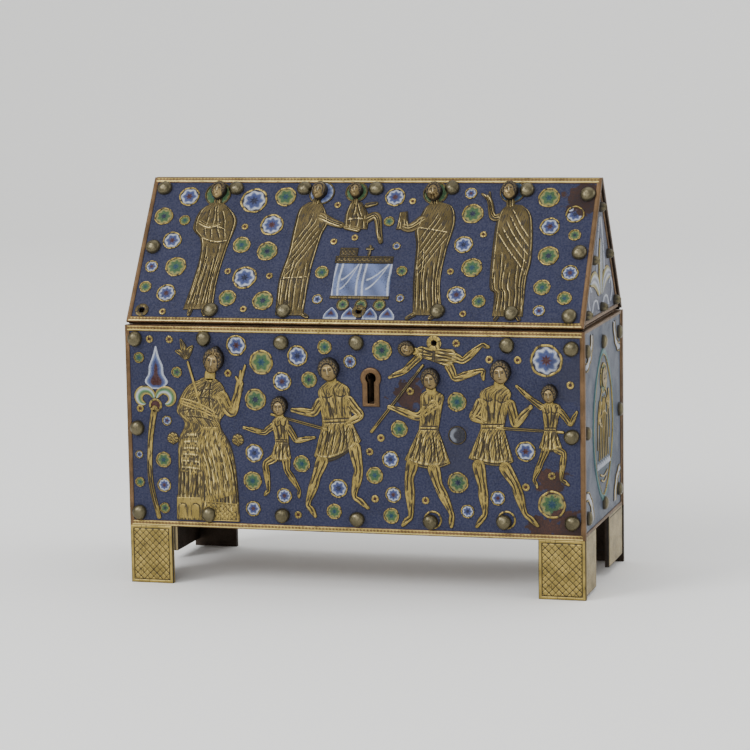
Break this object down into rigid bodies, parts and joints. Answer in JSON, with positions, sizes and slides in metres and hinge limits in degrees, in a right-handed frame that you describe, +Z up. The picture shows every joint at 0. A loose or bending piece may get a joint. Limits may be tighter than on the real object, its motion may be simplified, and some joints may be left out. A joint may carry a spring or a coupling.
{
  "type": "reliquary casket",
  "caption": "House-shaped casket on corner feet, gilt and blue-enamelled copper plates nailed over a hollow wooden box, with a roof-shaped lid that lifts off.",
  "frame": {"origin": "on the floor under the middle of the whole casket", "axes": "+X along the width to the right, +Y from the front to the back, +Z up"},
  "size_m": [0.2038, 0.0922, 0.1725],
  "materials": {
    "enamelled_copper": "gilt copper plate with blue champleve enamel, engraved figures left in the metal",
    "cast_gilt": "cast and chased gilt copper, dark in the hollows",
    "bronze_nail": "dull greenish bronze, rubbed on top",
    "oak": "old dark oak, unvarnished"
  },
  "bodies": {
    "root": {"board_front": "oak", "plate_front": "enamelled_copper", "head_ruler": "cast_gilt", "head_soldier_near_lock": "cast_gilt", "head_child_left": "cast_gilt", "head_soldier_middle": "cast_gilt", "head_child_carried": "cast_gilt", "head_soldier_right": "cast_gilt", "head_child_right": "cast_gilt", "nail_body_1": "bronze_nail", "nail_body_2": "bronze_nail", "nail_body_3": "bronze_nail", "nail_body_4": "bronze_nail", "nail_body_5": "bronze_nail", "nail_body_6": "bronze_nail", "nail_body_7": "bronze_nail", "nail_body_8": "bronze_nail", "nail_body_9": "bronze_nail", "nail_body_10": "bronze_nail", "nail_body_11": "bronze_nail", "nail_body_12": "bronze_nail", "nail_body_13": "bronze_nail", "nail_body_14": "bronze_nail", "nail_body_15": "bronze_nail", "board_back": "oak", "plate_back": "enamelled_copper", "board_right": "oak", "plate_right": "enamelled_copper", "board_left": "oak", "plate_left": "enamelled_copper", "lid_board_front": "oak", "roof_front": "enamelled_copper", "head_saint_left": "cast_gilt", "head_woman": "cast_gilt", "head_held_child": "cast_gilt", "head_elder": "cast_gilt", "head_saint_right": "cast_gilt", "nail_roof_1": "bronze_nail", "nail_roof_2": "bronze_nail", "nail_roof_3": "bronze_nail", "nail_roof_4": "bronze_nail", "nail_roof_5": "bronze_nail", "nail_roof_6": "bronze_nail", "nail_roof_7": "bronze_nail", "nail_roof_8": "bronze_nail", "nail_roof_9": "bronze_nail", "nail_roof_10": "bronze_nail", "nail_roof_11": "bronze_nail", "nail_roof_12": "bronze_nail", "nail_roof_13": "bronze_nail", "nail_roof_14": "bronze_nail", "lid_board_back": "oak", "roof_back": "enamelled_copper", "lid_gable_board_right": "oak", "gable_right": "enamelled_copper", "lid_gable_board_left": "oak", "gable_left": "enamelled_copper", "board_floor": "oak"}
  },
  "joints": []
}
